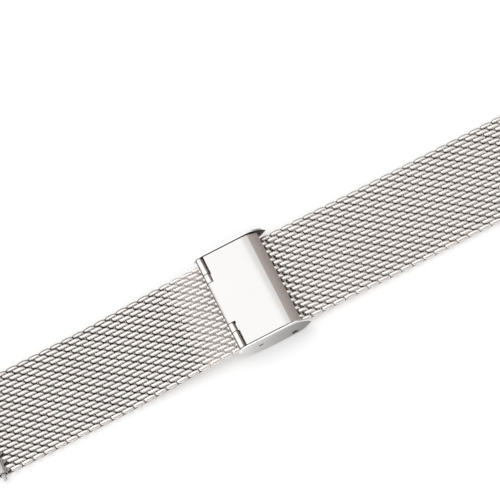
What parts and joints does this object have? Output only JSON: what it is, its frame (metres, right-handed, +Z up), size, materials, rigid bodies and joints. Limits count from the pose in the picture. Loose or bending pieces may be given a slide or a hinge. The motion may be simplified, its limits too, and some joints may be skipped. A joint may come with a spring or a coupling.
{
  "type": "milanese mesh watch band",
  "caption": "Closed two-piece woven steel watch band with a sliding hook clasp, hinged cover, locking plate and spring bars in its end tubes.",
  "frame": {"origin": "middle of the box round the whole band, at the level of the table that it lies on", "axes": "+X along the band towards the long strap's lug end, +Y across the band, +Z up out of the clasp's cover"},
  "size_m": [0.1558, 0.022, 0.0041],
  "materials": {
    "mesh_wire": "bright drawn wire",
    "polished_sheet": "polished",
    "frame_sheet": "satin",
    "turned_steel": "turned",
    "spring_wire": "drawn wire"
  },
  "bodies": {
    "clasp": {"clasp_frame": "frame_sheet", "hinge_pin": "turned_steel", "short_end_plate": "frame_sheet", "short_mesh_1": "mesh_wire"},
    "cover": {"clasp_cover": "polished_sheet"},
    "hook": {"hook_plate": "polished_sheet"},
    "lock": {"lock_plate": "frame_sheet"},
    "short_2": {"short_mesh_2": "mesh_wire"},
    "short_3": {"short_mesh_3": "mesh_wire"},
    "short_4": {"short_mesh_4": "mesh_wire"},
    "short_5": {"short_mesh_5": "mesh_wire"},
    "short_6": {"short_mesh_6": "mesh_wire", "short_lug_tube": "turned_steel", "short_bar_shell": "turned_steel", "short_bar_spring": "spring_wire"},
    "long_1": {"long_mesh_1": "mesh_wire"},
    "long_2": {"long_mesh_2": "mesh_wire"},
    "long_3": {"long_mesh_3": "mesh_wire"},
    "long_4": {"long_mesh_4": "mesh_wire"},
    "long_5": {"long_mesh_5": "mesh_wire"},
    "long_6": {"long_mesh_6": "mesh_wire"},
    "long_7": {"long_mesh_7": "mesh_wire"},
    "long_8": {"long_mesh_8": "mesh_wire"},
    "long_9": {"long_mesh_9": "mesh_wire"},
    "long_10": {"long_mesh_10": "mesh_wire", "long_lug_tube": "turned_steel", "long_bar_shell": "turned_steel", "long_bar_spring": "spring_wire"},
    "short_tip_near": {"short_bar_tip_near": "turned_steel"},
    "short_tip_far": {"short_bar_tip_far": "turned_steel"},
    "long_tip_near": {"long_bar_tip_near": "turned_steel"},
    "long_tip_far": {"long_bar_tip_far": "turned_steel"}
  },
  "joints": [
    {"name": "cover_hinge", "type": "hinge", "parent": "clasp", "child": "cover", "pos_m": [-0.02638, 0, 0.00332], "axis": [0, -1, 0], "range_deg": [0, 150]},
    {"name": "hook_hinge", "type": "hinge", "parent": "clasp", "child": "hook", "pos_m": [-0.02638, 0, 0.00332], "axis": [0, -1, 0], "range_deg": [0, 45]},
    {"name": "lock_hinge", "type": "hinge", "parent": "clasp", "child": "lock", "pos_m": [-0.02355, 0, 0.00085], "axis": [0, 1, 0], "range_deg": [0, 60]},
    {"name": "strap_slide", "type": "slide", "parent": "clasp", "child": "long_1", "axis": [1, 0, 0], "range_m": [-0.006, 0.006]},
    {"name": "short_bend_1", "type": "hinge", "parent": "clasp", "child": "short_2", "pos_m": [-0.03212, 0, 0.00199], "axis": [0, -1, 0], "range_deg": [-6, 18]},
    {"name": "short_bend_2", "type": "hinge", "parent": "short_2", "child": "short_3", "pos_m": [-0.04145, 0, 0.00127], "axis": [0, -1, 0], "range_deg": [-6, 18]},
    {"name": "short_bend_3", "type": "hinge", "parent": "short_3", "child": "short_4", "pos_m": [-0.05078, 0, 0.00055], "axis": [0, -1, 0], "range_deg": [-6, 18]},
    {"name": "short_bend_4", "type": "hinge", "parent": "short_4", "child": "short_5", "pos_m": [-0.06014, 0, 0.00055], "axis": [0, -1, 0], "range_deg": [-6, 18]},
    {"name": "short_bend_5", "type": "hinge", "parent": "short_5", "child": "short_6", "pos_m": [-0.0695, 0, 0.00055], "axis": [0, -1, 0], "range_deg": [-6, 18]},
    {"name": "long_bend_1", "type": "hinge", "parent": "long_1", "child": "long_2", "pos_m": [-0.00538, 0, 0.00083], "axis": [0, 1, 0], "range_deg": [-6, 18]},
    {"name": "long_bend_2", "type": "hinge", "parent": "long_2", "child": "long_3", "pos_m": [0.00398, 0, 0.00055], "axis": [0, 1, 0], "range_deg": [-6, 18]},
    {"name": "long_bend_3", "type": "hinge", "parent": "long_3", "child": "long_4", "pos_m": [0.01334, 0, 0.00055], "axis": [0, 1, 0], "range_deg": [-6, 18]},
    {"name": "long_bend_4", "type": "hinge", "parent": "long_4", "child": "long_5", "pos_m": [0.0227, 0, 0.00055], "axis": [0, 1, 0], "range_deg": [-6, 18]},
    {"name": "long_bend_5", "type": "hinge", "parent": "long_5", "child": "long_6", "pos_m": [0.03206, 0, 0.00055], "axis": [0, 1, 0], "range_deg": [-6, 18]},
    {"name": "long_bend_6", "type": "hinge", "parent": "long_6", "child": "long_7", "pos_m": [0.04142, 0, 0.00055], "axis": [0, 1, 0], "range_deg": [-6, 18]},
    {"name": "long_bend_7", "type": "hinge", "parent": "long_7", "child": "long_8", "pos_m": [0.05078, 0, 0.00055], "axis": [0, 1, 0], "range_deg": [-6, 18]},
    {"name": "long_bend_8", "type": "hinge", "parent": "long_8", "child": "long_9", "pos_m": [0.06014, 0, 0.00055], "axis": [0, 1, 0], "range_deg": [-6, 18]},
    {"name": "long_bend_9", "type": "hinge", "parent": "long_9", "child": "long_10", "pos_m": [0.0695, 0, 0.00055], "axis": [0, 1, 0], "range_deg": [-6, 18]},
    {"name": "short_tip_near_slide", "type": "slide", "parent": "short_6", "child": "short_tip_near", "axis": [0, 1, 0], "range_m": [0, 0.001], "stiffness_N_per_m": 400, "springref_m": -0.0008, "deforming": ["short_bar_spring"]},
    {"name": "short_tip_far_slide", "type": "slide", "parent": "short_6", "child": "short_tip_far", "axis": [0, -1, 0], "range_m": [0, 0.001], "stiffness_N_per_m": 400, "springref_m": -0.0008, "deforming": ["short_bar_spring"]},
    {"name": "long_tip_near_slide", "type": "slide", "parent": "long_10", "child": "long_tip_near", "axis": [0, 1, 0], "range_m": [0, 0.001], "stiffness_N_per_m": 400, "springref_m": -0.0008, "deforming": ["long_bar_spring"]},
    {"name": "long_tip_far_slide", "type": "slide", "parent": "long_10", "child": "long_tip_far", "axis": [0, -1, 0], "range_m": [0, 0.001], "stiffness_N_per_m": 400, "springref_m": -0.0008, "deforming": ["long_bar_spring"]}
  ],
  "couplings": [
    {"joint": "hook_hinge", "follows": "cover_hinge", "ratio": 0.3}
  ]
}
